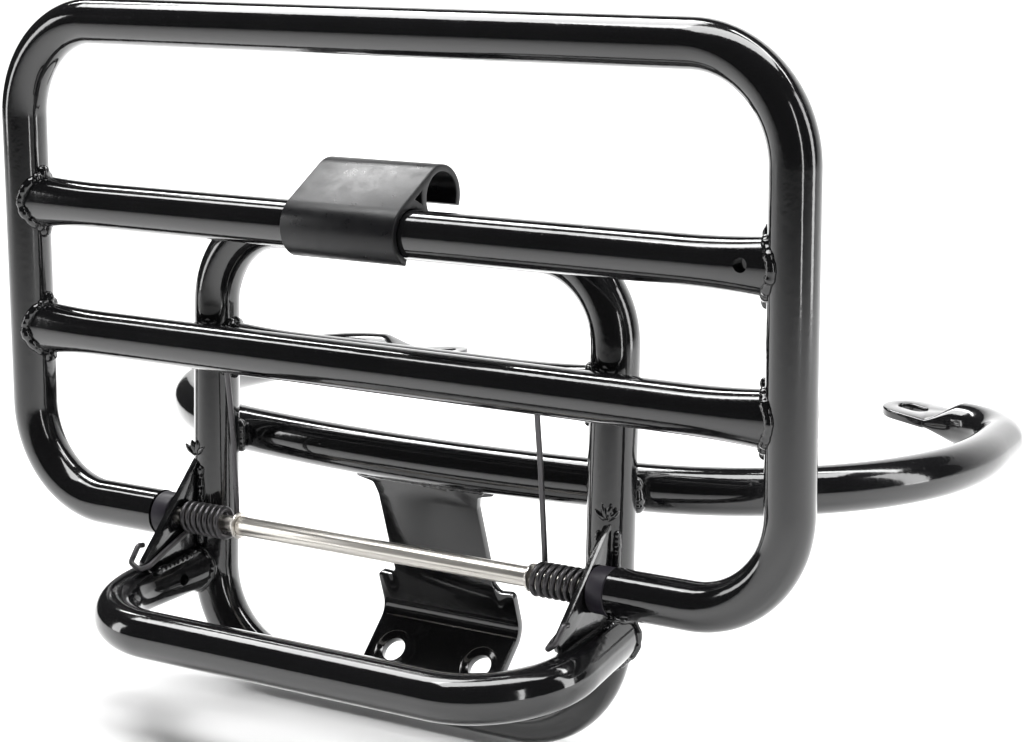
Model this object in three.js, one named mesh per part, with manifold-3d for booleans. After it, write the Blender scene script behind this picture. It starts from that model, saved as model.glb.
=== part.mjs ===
// Folding luggage rack for the tail of a motor scooter.
//
// A steel hoop stands on the tail, held by a bow-shaped tube with two slotted eyelets and by a
// sheet-metal bracket with two bolt holes. A tube platform turns on an axle through two hinge
// plates: it is shown folded up against the hoop, and folds down onto the U-shaped ledge tube.
// Two torsion springs lift the platform, and a plastic clip on its upper crossbar snaps over the
// hoop's top bar.
//
// Millimetres. X is the rack's width, +Y points to the rider, +Z is up. The sizes below are taken
// from the hinge axis (Y = Z = 0), and the finished group is moved so that the origin is the
// middle of the bracket's bolting face.

import * as THREE from 'three';
import Module from 'manifold-3d';
import { mergeVertices } from 'three/addons/utils/BufferGeometryUtils.js';

const wasm = await Module();
wasm.setup();

// ---------------------------------------------------------------- driving dimensions

const TUBE_R = 10; // all frame tubes are 20 mm round tube
const GAP = 0.3; // left between pieces that touch or are coped to each other
const TUBE_SIDES = 16;
const BEND_STEP = THREE.MathUtils.degToRad(11);
const COIL_STEPS = 12; // per turn of a spring

const PLATFORM = {
  halfWidth: 194.2, // hinge line to tube centre, all widths are centre to centre
  height: 214.8,
  topRadius: 44,
  bottomRadius: 42,
  lean: THREE.MathUtils.degToRad(1.05),
  stubEnd: 118, // inner end of each hinge stub
  stubBoreR: 7.8,
  stubBoreDepth: 22,
  lowerBar: 76.9,
  upperBar: 134.1,
  vent: [176.7, 1.3], // X, and height above the upper crossbar's centre line
  ventR: 2.8,
  ventDepth: 4,
};

const HOOP = {
  halfWidth: 103.4,
  top: 128.7,
  bottom: -66.1,
  topRadius: 36.5,
  bottomRadius: 41.5,
  lean: THREE.MathUtils.degToRad(3.5),
  setBack: 18.6, // behind the hinge axis
  crossbar: 73,
};

const BOW = {
  front: 32.5, // Y of its middle
  height: 31.7,
  fall: THREE.MathUtils.degToRad(0.86), // the bow's plane drops this much towards the rider
  middleRadius: 600,
  middleBend: 9.65,
  sideRadius: 116,
  sideBend: 89.45,
  sideStraight: 20,
  endRadius: 35,
  endBend: 64.4,
  endStraight: 5,
  squashLength: 15.5,
};

const EYELET = {
  width: 27,
  thickness: 4,
  length: 30,
  slotWidth: 8.6,
  slotLength: 15,
  slotFromTip: 14,
  rise: THREE.MathUtils.degToRad(4),
};

const LEDGE = {
  armStart: 107, // X of each arm where it meets the hoop
  frontCorner: 117.5, // X where arm and front bar would cross
  front: -62.3,
  frontHeight: -32.4,
  slope: THREE.MathUtils.degToRad(5.7),
  radius: 39,
  vent: [-8, -26.5],
  ventR: 2.6,
};

const PLATE = {
  inner: 105.8,
  thickness: 3,
  top: [11, 23],
  tip: [-27, -15.5],
  foot: [-24, -19.5],
  back: [14, -19],
};

const AXLE = { radius: 3.5, halfLength: 128, clearance: 0.25 };
const SLEEVE = { radius: 4.2, left: -73.5, right: 77.8 };
const WASHER = { radius: 5.8, thickness: 1 };

const BUSH = {
  inner: 109.2,
  collarR: 9.6,
  collarLength: 8.3,
  spigotR: 7.4,
  spigotLength: 14,
};

const SPRING = {
  inner: 80.8,
  outer: 103.9,
  turns: 7.194, // the part turn lets the coil run straight into its lower leg
  coilR: 6.1,
  wireR: 1.2,
  wireSides: 6,
  legTop: 65.9,
  legKnee: 43,
};

const BRACKET = {
  thickness: 3,
  neckHalf: 26,
  footHalf: 36,
  earHalf: 36,
  earDepth: 5,
  top: [34.4, 25.5],
  knee: [54.4, -44.4],
  bend: 6,
  shoulderAt: 54, // measured down the sheet from its top edge
  shoulderRise: 4,
  holeSpacing: 46,
  holeR: 5.5,
  holeFromKnee: 19.6,
  footLength: 32,
  footAngle: THREE.MathUtils.degToRad(46), // below level, towards the platform
};

const CLIP = {
  left: -37.7,
  right: 20.5,
  boreR: 10.3,
  wall: 3,
  spacing: 24.6, // between the centres of its two jaws
  tilt: THREE.MathUtils.degToRad(31.3), // how far it is turned up from level
  mouthHalf: THREE.MathUtils.degToRad(50),
  rearLeg: 6,
  webHoleR: 2.2,
};

// ---------------------------------------------------------------- materials

function material(color, roughness, metalness) {
  return new THREE.MeshStandardMaterial({ color, roughness, metalness });
}

const glossBlack = () => material(0x0e0e10, 0.18, 0.1);
const nickel = () => material(0xd9d2c6, 0.25, 1);
const springBlack = () => material(0x2a292b, 0.4, 0.8);
const satinPlastic = () => material(0x1b1b1d, 0.5, 0);
const bushPlastic = () => material(0x2e2c33, 0.55, 0);

// ---------------------------------------------------------------- shape helpers

// A closed geometry as a manifold solid, for joining and cutting.
function solid(geometry) {
  const bare = geometry.index ? geometry.toNonIndexed() : geometry.clone();
  bare.deleteAttribute('normal');
  bare.deleteAttribute('uv');
  bare.clearGroups();
  const merged = mergeVertices(bare, 1e-4);
  const mesh = new wasm.Mesh({
    numProp: 3,
    vertProperties: new Float32Array(merged.attributes.position.array),
    triVerts: new Uint32Array(merged.index.array),
  });
  return new wasm.Manifold(mesh);
}

// A manifold solid back as a three.js geometry.
function geometryOf(body) {
  const mesh = body.getMesh();
  const geometry = new THREE.BufferGeometry();
  geometry.setAttribute('position', new THREE.BufferAttribute(mesh.vertProperties, 3));
  geometry.setIndex(new THREE.BufferAttribute(mesh.triVerts, 1));
  geometry.computeVertexNormals();
  return geometry;
}

const cut = (body, ...tools) => tools.reduce((rest, tool) => rest.subtract(tool), body);
const join = (body, ...others) => others.reduce((sum, other) => sum.add(other), body);

// A flat working plane in space: (u, v) on it becomes origin + u * across + v * along.
class Plane {
  constructor(origin, across, along) {
    this.origin = new THREE.Vector3(...origin);
    this.across = new THREE.Vector3(...across).normalize();
    this.along = new THREE.Vector3(...along).normalize();
  }

  point(u, v) {
    return this.origin.clone().addScaledVector(this.across, u).addScaledVector(this.along, v);
  }

  direction(u, v) {
    return this.across.clone().multiplyScalar(u).addScaledVector(this.along, v).normalize();
  }
}

// A tube's centre line as a bender makes it: feed straight, then bend, all in one plane.
// It keeps a station only at each end of a straight and at each step of a bend.
class BenderPath extends THREE.Curve {
  constructor(plane, u, v, heading) {
    super();
    this.plane = plane;
    this.u = u;
    this.v = v;
    this.heading = THREE.MathUtils.degToRad(heading);
    this.stations = [];
    this.mark();
  }

  mark() {
    const tangent = this.plane.direction(Math.cos(this.heading), Math.sin(this.heading));
    this.stations.push({ point: this.plane.point(this.u, this.v), tangent });
  }

  feed(length) {
    this.u += length * Math.cos(this.heading);
    this.v += length * Math.sin(this.heading);
    this.mark();
    return this;
  }

  // Positive degrees turn from across towards along.
  bend(radius, degrees) {
    const turn = THREE.MathUtils.degToRad(degrees);
    const side = Math.sign(turn);
    const steps = Math.max(2, Math.ceil(Math.abs(turn) / BEND_STEP));
    const centreU = this.u - side * radius * Math.sin(this.heading);
    const centreV = this.v + side * radius * Math.cos(this.heading);
    for (let step = 0; step < steps; step++) {
      this.heading += turn / steps;
      this.u = centreU + side * radius * Math.sin(this.heading);
      this.v = centreV - side * radius * Math.cos(this.heading);
      this.mark();
    }
    return this;
  }

  get steps() {
    return this.stations.length - 1;
  }

  station(t) {
    return this.stations[Math.round(t * this.steps)];
  }

  getSpacedPoints() {
    return this.stations.map((station) => station.point.clone());
  }

  getPointAt(t, target = new THREE.Vector3()) {
    return target.copy(this.station(t).point);
  }

  getTangentAt(t, target = new THREE.Vector3()) {
    return target.copy(this.station(t).tangent);
  }

  get end() {
    return this.stations[this.steps];
  }
}

function polygon(radius, sides) {
  const points = [];
  for (let side = 0; side < sides; side++) {
    const angle = (side / sides) * 2 * Math.PI;
    points.push(new THREE.Vector2(radius * Math.cos(angle), radius * Math.sin(angle)));
  }
  return new THREE.Shape(points);
}

// A round bar along a bender path.
function bentBar(path, radius = TUBE_R, sides = TUBE_SIDES) {
  return new THREE.ExtrudeGeometry(polygon(radius, sides), {
    steps: path.steps,
    extrudePath: path,
  });
}

// A bar that closes on itself: the two end caps are left off and the seam is merged.
function closedBar(path, radius = TUBE_R) {
  const geometry = bentBar(path, radius);
  const walls = geometry.groups[1];
  const position = geometry.attributes.position.array;
  const kept = position.slice(walls.start * 3, (walls.start + walls.count) * 3);
  const ring = new THREE.BufferGeometry();
  ring.setAttribute('position', new THREE.BufferAttribute(kept, 3));
  return mergeVertices(ring, 1e-3);
}

// A straight cylinder along X.
function rodX(radius, from, to, sides = TUBE_SIDES) {
  const geometry = new THREE.CylinderGeometry(radius, radius, to - from, sides);
  geometry.rotateZ(Math.PI / 2);
  geometry.translate((from + to) / 2, 0, 0);
  return geometry;
}

// A turned ring about the X axis, with a square section.
function ringX(innerR, outerR, from, to, sides = 24) {
  const profile = [
    [innerR, from],
    [outerR, from],
    [outerR, to],
    [innerR, to],
    [innerR, from],
  ].map(([radius, along]) => new THREE.Vector2(radius, along));
  const geometry = new THREE.LatheGeometry(profile, sides);
  geometry.rotateZ(-Math.PI / 2);
  return geometry;
}

// An outline in the YZ plane, given as [y, z] points, thickened along X.
function sideProfile(outline, from, to, holes = []) {
  const shape = new THREE.Shape(outline.map(([y, z]) => new THREE.Vector2(y, z)));
  for (const [y, z, radius] of holes) {
    const hole = new THREE.Path();
    hole.absarc(y, z, radius, 0, 2 * Math.PI, true);
    shape.holes.push(hole);
  }
  const geometry = new THREE.ExtrudeGeometry(shape, {
    depth: to - from,
    bevelEnabled: false,
    curveSegments: 8,
  });
  // The shape's x and y become Y and Z, and its depth runs along X.
  const basis = new THREE.Matrix4().makeBasis(
    new THREE.Vector3(0, 1, 0),
    new THREE.Vector3(0, 0, 1),
    new THREE.Vector3(1, 0, 0),
  );
  geometry.applyMatrix4(basis);
  geometry.translate(from, 0, 0);
  return geometry;
}

function mirrored(geometry) {
  const copy = geometry.index ? geometry.toNonIndexed() : geometry.clone();
  copy.scale(-1, 1, 1);
  const position = copy.attributes.position;
  const a = new THREE.Vector3();
  const b = new THREE.Vector3();
  for (let corner = 0; corner < position.count; corner += 3) {
    a.fromBufferAttribute(position, corner);
    b.fromBufferAttribute(position, corner + 1);
    position.setXYZ(corner, b.x, b.y, b.z);
    position.setXYZ(corner + 1, a.x, a.y, a.z);
  }
  return copy;
}

// ---------------------------------------------------------------- platform

const platformPlane = new Plane([0, 0, 0], [1, 0, 0], [0, Math.sin(PLATFORM.lean), Math.cos(PLATFORM.lean)]);

function platformPath() {
  const { halfWidth, height, topRadius, bottomRadius, stubEnd } = PLATFORM;
  const stub = halfWidth - stubEnd - bottomRadius;
  const side = height - topRadius - bottomRadius;
  return new BenderPath(platformPlane, stubEnd, 0, 0)
    .feed(stub)
    .bend(bottomRadius, 90)
    .feed(side)
    .bend(topRadius, 90)
    .feed(2 * (halfWidth - topRadius))
    .bend(topRadius, 90)
    .feed(side)
    .bend(bottomRadius, 90)
    .feed(stub);
}

function platformTube() {
  const { stubEnd, stubBoreR, stubBoreDepth } = PLATFORM;
  const bar = solid(bentBar(platformPath()));
  const bore = rodX(stubBoreR, stubEnd - 1, stubEnd + stubBoreDepth);
  return geometryOf(cut(bar, solid(bore), solid(mirrored(bore))));
}

function crossbar(plane, height, halfWidth, neighbour) {
  const path = new BenderPath(plane, -halfWidth, height, 0).feed(2 * halfWidth);
  return geometryOf(cut(solid(bentBar(path)), neighbour));
}

const platformShell = solid(bentBar(platformPath(), TUBE_R + GAP));

function platformCrossbar(height) {
  return crossbar(platformPlane, height, PLATFORM.halfWidth, platformShell);
}

// The upper crossbar has a vent near its right end, in the side that faces away from the hoop.
function ventedCrossbar() {
  const { upperBar, vent, ventR, ventDepth } = PLATFORM;
  const [x, rise] = vent;
  const drill = new THREE.CylinderGeometry(ventR, ventR, 2 * ventDepth, 12);
  const centre = platformPlane.point(x, upperBar + rise);
  drill.translate(centre.x, centre.y - TUBE_R, centre.z);
  return geometryOf(cut(solid(platformCrossbar(upperBar)), solid(drill)));
}

function bush() {
  const { inner, collarR, collarLength, spigotR, spigotLength } = BUSH;
  const collarEnd = inner + collarLength;
  const boreR = AXLE.radius + AXLE.clearance;
  const collar = solid(rodX(collarR, inner, collarEnd, 24));
  const spigot = solid(rodX(spigotR, collarEnd - 1, collarEnd + spigotLength));
  const bore = solid(rodX(boreR, inner - 1, collarEnd + spigotLength + 1));
  return geometryOf(cut(join(collar, spigot), bore));
}

// ---------------------------------------------------------------- fixed frame

const hoopPlane = new Plane([0, HOOP.setBack, 0], [1, 0, 0], [0, Math.sin(HOOP.lean), Math.cos(HOOP.lean)]);

function hoopPath() {
  const { halfWidth, top, bottom, topRadius, bottomRadius } = HOOP;
  const side = top - bottom - topRadius - bottomRadius;
  return new BenderPath(hoopPlane, 0, bottom, 0)
    .feed(halfWidth - bottomRadius)
    .bend(bottomRadius, 90)
    .feed(side)
    .bend(topRadius, 90)
    .feed(2 * (halfWidth - topRadius))
    .bend(topRadius, 90)
    .feed(side)
    .bend(bottomRadius, 90)
    .feed(halfWidth - bottomRadius);
}

const hoopShell = solid(closedBar(hoopPath(), TUBE_R + GAP));

const bowPlane = new Plane(
  [0, BOW.front, BOW.height],
  [1, 0, 0],
  [0, Math.cos(BOW.fall), -Math.sin(BOW.fall)],
);

// One half of the bow, from its middle to where the flattened end begins.
function bowPath(side) {
  const path = new BenderPath(bowPlane, 0, 0, side > 0 ? 0 : 180);
  return path
    .bend(BOW.middleRadius, side * BOW.middleBend)
    .bend(BOW.sideRadius, side * BOW.sideBend)
    .feed(BOW.sideStraight)
    .bend(BOW.endRadius, side * BOW.endBend)
    .feed(BOW.endStraight);
}

function smoothStep(value) {
  const t = THREE.MathUtils.clamp(value, 0, 1);
  return t * t * (3 - 2 * t);
}

// The tube's end pressed flat: it starts round at z = 0 and ends as a flat oblong, with the
// slotted tongue beyond it. Local z runs along the tube and local y is the pressing direction.
function pressedEnd() {
  const { width, thickness, length, slotWidth, slotLength, slotFromTip, rise } = EYELET;
  const press = new THREE.ExtrudeGeometry(polygon(TUBE_R, TUBE_SIDES), {
    depth: BOW.squashLength,
    steps: 6,
    bevelEnabled: false,
  });
  const position = press.attributes.position;
  for (let corner = 0; corner < position.count; corner++) {
    const pressed = smoothStep(position.getZ(corner) / BOW.squashLength);
    const widthScale = THREE.MathUtils.lerp(1, width / (2 * TUBE_R), pressed);
    const heightScale = THREE.MathUtils.lerp(1, thickness / (2 * TUBE_R), pressed);
    position.setX(corner, position.getX(corner) * widthScale);
    position.setY(corner, position.getY(corner) * heightScale);
  }
  const tongue = new THREE.Shape();
  tongue.moveTo(-width / 2, 0);
  tongue.lineTo(width / 2, 0);
  tongue.lineTo(width / 2, length - width / 2);
  tongue.absarc(0, length - width / 2, width / 2, 0, Math.PI, false);
  const slotR = slotWidth / 2;
  const slotFar = length - slotFromTip + slotLength / 2 - slotR;
  const slotNear = slotFar - slotLength + slotWidth;
  const slot = new THREE.Path();
  slot.moveTo(slotR, slotNear);
  slot.absarc(0, slotNear, slotR, 0, -Math.PI, true);
  slot.lineTo(-slotR, slotFar);
  slot.absarc(0, slotFar, slotR, Math.PI, 0, true);
  tongue.holes.push(slot);
  const plate = new THREE.ExtrudeGeometry(tongue, {
    depth: thickness,
    bevelEnabled: false,
    curveSegments: 8,
  });
  plate.translate(0, 0, -thickness / 2);
  plate.rotateX(Math.PI / 2);
  plate.rotateX(-rise);
  plate.translate(0, 0, BOW.squashLength - 2);
  return join(solid(press), solid(plate));
}

// The pressed end placed on the end of one half of the bow.
function placedEnd(side) {
  const { point, tangent } = bowPath(side).end;
  const up = bowPlane.across.clone().cross(bowPlane.along);
  const across = up.clone().cross(tangent);
  const place = new THREE.Matrix4().makeBasis(across, up, tangent);
  place.setPosition(point.clone().addScaledVector(tangent, -0.5));
  const geometry = geometryOf(pressedEnd());
  geometry.applyMatrix4(place);
  return solid(geometry);
}

function sideBow() {
  const halves = join(solid(bentBar(bowPath(1))), solid(bentBar(bowPath(-1))));
  return geometryOf(join(halves, placedEnd(1), placedEnd(-1)));
}

const ledgePlane = new Plane(
  [0, LEDGE.front, LEDGE.frontHeight],
  [1, 0, 0],
  [0, Math.cos(LEDGE.slope), Math.sin(LEDGE.slope)],
);

function ledgePath() {
  const { armStart, frontCorner, front, radius, slope } = LEDGE;
  const reach = (HOOP.setBack - front) / Math.cos(slope) - 2;
  const armLength = Math.hypot(frontCorner - armStart, reach);
  const splay = THREE.MathUtils.radToDeg(Math.atan2(frontCorner - armStart, reach));
  const turn = 90 + splay;
  const trim = radius * Math.tan(THREE.MathUtils.degToRad(turn / 2));
  return new BenderPath(ledgePlane, -armStart, reach, -turn)
    .feed(armLength - trim)
    .bend(radius, turn)
    .feed(2 * (frontCorner - trim))
    .bend(radius, turn)
    .feed(armLength - trim);
}

function ledgeTube() {
  const bar = solid(bentBar(ledgePath()));
  // The vent lets hot air out while the tube is welded. It goes through the inner wall only.
  const [ventY, ventZ] = LEDGE.vent;
  const vent = rodX(LEDGE.ventR, -LEDGE.armStart + 3, -LEDGE.armStart + 20, 12);
  vent.translate(0, ventY, ventZ);
  return geometryOf(cut(bar, hoopShell, solid(vent)));
}

const ledgeShell = solid(bentBar(ledgePath(), TUBE_R + GAP));

function hingePlate() {
  const { inner, thickness, top, tip, foot, back } = PLATE;
  const backTop = [16, 23];
  const outline = [foot, back, backTop, top, tip];
  const boreR = AXLE.radius + AXLE.clearance;
  const blank = sideProfile(outline, inner, inner + thickness, [[0, 0, boreR]]);
  return geometryOf(cut(solid(blank), hoopShell, ledgeShell));
}

// ---------------------------------------------------------------- centre bracket

const bracketFall = new THREE.Vector2(
  BRACKET.knee[0] - BRACKET.top[0],
  BRACKET.knee[1] - BRACKET.top[1],
).normalize();
const footFall = new THREE.Vector2(-Math.cos(BRACKET.footAngle), -Math.sin(BRACKET.footAngle));
// The foot's outer side, which faces the vehicle.
const footNormal = new THREE.Vector3(0, -footFall.y, footFall.x);

function bracketSheet() {
  const { top, knee, thickness, footLength } = BRACKET;
  const half = thickness / 2;
  const kneePoint = new THREE.Vector2(...knee);
  const topPoint = new THREE.Vector2(...top);
  const end = kneePoint.clone().addScaledVector(footFall, footLength);
  const fallSide = new THREE.Vector2(-bracketFall.y, bracketFall.x);
  const footSide = new THREE.Vector2(-footFall.y, footFall.x);
  const rows = [
    [topPoint, fallSide],
    [kneePoint.clone().addScaledVector(bracketFall, -BRACKET.bend), fallSide],
  ];
  const turn = footFall.angle() - bracketFall.angle();
  const turns = 5;
  for (let step = 1; step < turns; step++) {
    const t = step / turns;
    const along = bracketFall.clone().rotateAround(new THREE.Vector2(), t * turn);
    const a = kneePoint.clone().addScaledVector(bracketFall, -BRACKET.bend * (1 - t));
    const b = kneePoint.clone().addScaledVector(footFall, BRACKET.bend * t);
    rows.push([a.lerp(b, t), new THREE.Vector2(-along.y, along.x)]);
  }
  rows.push([kneePoint.clone().addScaledVector(footFall, BRACKET.bend), footSide]);
  rows.push([end, footSide]);
  const front = rows.map(([point, side]) => point.clone().addScaledVector(side, -half));
  const rear = rows.map(([point, side]) => point.clone().addScaledVector(side, half));
  return [...front, ...rear.reverse()].map((point) => [point.x, point.y]);
}

// The bracket's outline seen from the front, as a cutter that is straight through in Y.
function bracketOutline() {
  const { neckHalf, footHalf, earHalf, earDepth, top, shoulderAt, shoulderRise } = BRACKET;
  const topZ = top[1] + 2;
  const earZ = 21.7 - earDepth;
  const shoulderZ = top[1] + bracketFall.y * shoulderAt;
  const notch = 2.5;
  const bottomZ = -90;
  const shape = new THREE.Shape();
  shape.moveTo(-earHalf, topZ);
  shape.lineTo(-earHalf, earZ + 3.5);
  shape.quadraticCurveTo(-neckHalf - 2, earZ + 2.6, -neckHalf, earZ - 3);
  shape.lineTo(-neckHalf, shoulderZ + shoulderRise);
  shape.quadraticCurveTo(-neckHalf, shoulderZ, -neckHalf - notch, shoulderZ);
  shape.lineTo(-footHalf + 2, shoulderZ);
  shape.quadraticCurveTo(-footHalf, shoulderZ, -footHalf, shoulderZ - 2);
  shape.lineTo(-footHalf, bottomZ);
  shape.lineTo(footHalf, bottomZ);
  shape.lineTo(footHalf, shoulderZ - 2);
  shape.quadraticCurveTo(footHalf, shoulderZ, footHalf - 2, shoulderZ);
  shape.lineTo(neckHalf + notch, shoulderZ);
  shape.quadraticCurveTo(neckHalf, shoulderZ, neckHalf, shoulderZ + shoulderRise);
  shape.lineTo(neckHalf, earZ - 3);
  shape.quadraticCurveTo(neckHalf + 2, earZ + 2.6, earHalf, earZ + 3.5);
  shape.lineTo(earHalf, topZ);
  const geometry = new THREE.ExtrudeGeometry(shape, {
    depth: 120,
    bevelEnabled: false,
    curveSegments: 5,
  });
  geometry.rotateX(Math.PI / 2);
  geometry.translate(0, 100, 0);
  return geometry;
}

function footPoint(x, fromKnee, outward) {
  const alongFoot = new THREE.Vector3(0, footFall.x, footFall.y).multiplyScalar(fromKnee);
  return new THREE.Vector3(x, ...BRACKET.knee).add(alongFoot).addScaledVector(footNormal, outward);
}

function boltHole(x) {
  const hole = new THREE.CylinderGeometry(BRACKET.holeR, BRACKET.holeR, 20, 20);
  const turn = new THREE.Quaternion().setFromUnitVectors(new THREE.Vector3(0, 1, 0), footNormal);
  hole.applyQuaternion(turn);
  hole.translate(...footPoint(x, BRACKET.holeFromKnee, 0));
  return hole;
}

function centreBracket() {
  const { footHalf, holeSpacing } = BRACKET;
  const sheet = solid(sideProfile(bracketSheet(), -footHalf - 5, footHalf + 5));
  const blank = sheet.intersect(solid(bracketOutline()));
  const bowShell = join(
    solid(bentBar(bowPath(1), TUBE_R + GAP)),
    solid(bentBar(bowPath(-1), TUBE_R + GAP)),
  );
  const holes = [-1, 1].map((side) => solid(boltHole((side * holeSpacing) / 2)));
  return geometryOf(cut(blank, bowShell, ...holes));
}

const boltFaceCentre = footPoint(0, BRACKET.holeFromKnee, BRACKET.thickness / 2);

// ---------------------------------------------------------------- axle, springs

// A curve through given points that also keeps every point as a station.
class WirePath extends BenderPath {
  constructor(points) {
    super(platformPlane, 0, 0, 0);
    this.stations = points.map((point, index) => {
      const before = points[Math.max(index - 1, 0)];
      const after = points[Math.min(index + 1, points.length - 1)];
      return { point, tangent: after.clone().sub(before).normalize() };
    });
  }
}

// The right-hand spring: a leg up to the lower crossbar, the coil, and a leg that runs down the
// hinge plate and hooks round its tip.
function torsionSpring() {
  const { inner, outer, turns, coilR, legTop, legKnee } = SPRING;
  const points = [
    new THREE.Vector3(inner - 0.6, 2.4, legTop),
    new THREE.Vector3(inner - 0.6, 4.6, legKnee),
    new THREE.Vector3(inner - 0.3, 6.05, 9),
  ];
  const steps = Math.round(turns * COIL_STEPS);
  for (let step = 0; step <= steps; step++) {
    const t = step / steps;
    const angle = -t * turns * 2 * Math.PI;
    const x = THREE.MathUtils.lerp(inner, outer, t);
    points.push(new THREE.Vector3(x, coilR * Math.cos(angle), coilR * Math.sin(angle)));
  }
  return points;
}

function springGeometry() {
  const { outer, wireR, wireSides } = SPRING;
  const plateSide = PLATE.inner - GAP - wireR;
  const outerSide = PLATE.inner + PLATE.thickness + GAP + wireR;
  const points = torsionSpring();
  const hook = [
    [outer + 0.3, -12, -10.9],
    [plateSide, -23.5, -15.6],
    [plateSide + 0.6, -28.2, -17],
    [plateSide + 2.6, -30.4, -16.6],
    [outerSide - 1, -30.6, -14.6],
    [outerSide, -28.4, -11.6],
    [outerSide, -24.4, -8.6],
  ];
  points.push(...hook.map(([x, y, z]) => new THREE.Vector3(x, y, z)));
  return bentBar(new WirePath(points), wireR, wireSides);
}

// ---------------------------------------------------------------- latch clip

// The clip's section in its own plane: u from the crossbar's centre towards the rear jaw, v out
// of the flat top. Angles run from +u towards +v.
function clipSection() {
  const { boreR, wall, spacing, mouthHalf, rearLeg, webHoleR } = CLIP;
  const outerR = boreR + wall;
  const down = -Math.PI / 2;
  const shape = new THREE.Shape();
  const lipFront = down - mouthHalf;
  const lipRear = down + mouthHalf;
  const at = (u, radius, angle) => [u + radius * Math.cos(angle), radius * Math.sin(angle)];
  shape.moveTo(...at(0, outerR, lipFront));
  shape.absarc(0, 0, outerR, lipFront, Math.PI / 2 - 2 * Math.PI, true);
  shape.lineTo(spacing, outerR);
  shape.absarc(spacing, 0, outerR, Math.PI / 2, 0, true);
  shape.lineTo(spacing + outerR, -rearLeg);
  shape.lineTo(spacing + boreR, -rearLeg);
  shape.lineTo(spacing + boreR, 0);
  shape.absarc(spacing, 0, boreR, 0, Math.PI, false);
  shape.lineTo(spacing - boreR - 1, -1.5);
  shape.lineTo(...at(0, outerR, lipRear + 0.25));
  shape.lineTo(...at(0, boreR, lipRear));
  shape.absarc(0, 0, boreR, lipRear, lipFront + 2 * Math.PI, false);
  const hole = new THREE.Path();
  const middle = spacing / 2;
  hole.moveTo(middle - webHoleR, outerR - wall);
  hole.lineTo(middle, outerR - wall - 2 * webHoleR);
  hole.lineTo(middle + webHoleR, outerR - wall);
  shape.holes.push(hole);
  return shape;
}

function latchClip() {
  const { left, right, tilt } = CLIP;
  const geometry = new THREE.ExtrudeGeometry(clipSection(), {
    depth: right - left,
    bevelEnabled: false,
    curveSegments: 16,
  });
  const centre = platformPlane.point(0, PLATFORM.upperBar);
  const place = new THREE.Matrix4().makeBasis(
    new THREE.Vector3(0, Math.cos(tilt), Math.sin(tilt)),
    new THREE.Vector3(0, -Math.sin(tilt), Math.cos(tilt)),
    new THREE.Vector3(1, 0, 0),
  );
  place.setPosition(left, centre.y, centre.z);
  geometry.applyMatrix4(place);
  return geometryOf(solid(geometry));
}

// ---------------------------------------------------------------- assembly

function piece(name, geometry, look) {
  const mesh = new THREE.Mesh(geometry, look);
  mesh.name = name;
  return mesh;
}

function pair(name, geometry, look) {
  return [
    piece(`${name}_right`, geometry, look()),
    piece(`${name}_left`, mirrored(geometry), look()),
  ];
}

const sleeveBoreR = AXLE.radius + AXLE.clearance;
const washerLeft = SLEEVE.left - GAP - WASHER.thickness;
const washerRight = SLEEVE.right + GAP;

const fixedFrame = new THREE.Group();
fixedFrame.add(
  piece('fixed_hoop', closedBar(hoopPath()), glossBlack()),
  piece('hoop_crossbar', crossbar(hoopPlane, HOOP.crossbar, HOOP.halfWidth, hoopShell), glossBlack()),
  piece('side_bow', sideBow(), glossBlack()),
  piece('ledge_tube', ledgeTube(), glossBlack()),
  piece('centre_bracket', centreBracket(), glossBlack()),
  ...pair('hinge_plate', hingePlate(), glossBlack),
  piece('axle_rod', rodX(AXLE.radius, -AXLE.halfLength, AXLE.halfLength), nickel()),
  piece('axle_sleeve', ringX(sleeveBoreR, SLEEVE.radius, SLEEVE.left, SLEEVE.right), nickel()),
  piece(
    'sleeve_washer_left',
    ringX(sleeveBoreR, WASHER.radius, washerLeft, washerLeft + WASHER.thickness),
    nickel(),
  ),
  piece(
    'sleeve_washer_right',
    ringX(sleeveBoreR, WASHER.radius, washerRight, washerRight + WASHER.thickness),
    nickel(),
  ),
  ...pair('torsion_spring', springGeometry(), springBlack),
);

const platform = new THREE.Group();
platform.add(
  piece('platform_tube', platformTube(), glossBlack()),
  piece('platform_lower_crossbar', platformCrossbar(PLATFORM.lowerBar), glossBlack()),
  piece('platform_upper_crossbar', ventedCrossbar(), glossBlack()),
  ...pair('hinge_bush', bush(), bushPlastic),
);

const clip = new THREE.Group();
clip.add(piece('latch_clip', latchClip(), satinPlastic()));

const group = new THREE.Group();
group.add(fixedFrame, platform, clip);
group.position.copy(boltFaceCentre).negate();

export default group;
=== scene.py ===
# %% [markdown]
# # A folding luggage rack for a motor scooter
# The rack is bent steel tube under gloss black paint. A fixed hoop carries a U-shaped ledge, a
# wide bow with two slotted eyelets and a bolted sheet bracket. A platform turns on an axle between
# two hinge plates, two springs lift it, and a plastic clip hooks it to the hoop.
#
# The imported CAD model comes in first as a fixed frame. Every piece below is a finer mesh that
# stands for one CAD node and rides on the same body.

import math
import random

import bmesh
import bpy
from mathutils import Matrix, Vector, noise


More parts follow.
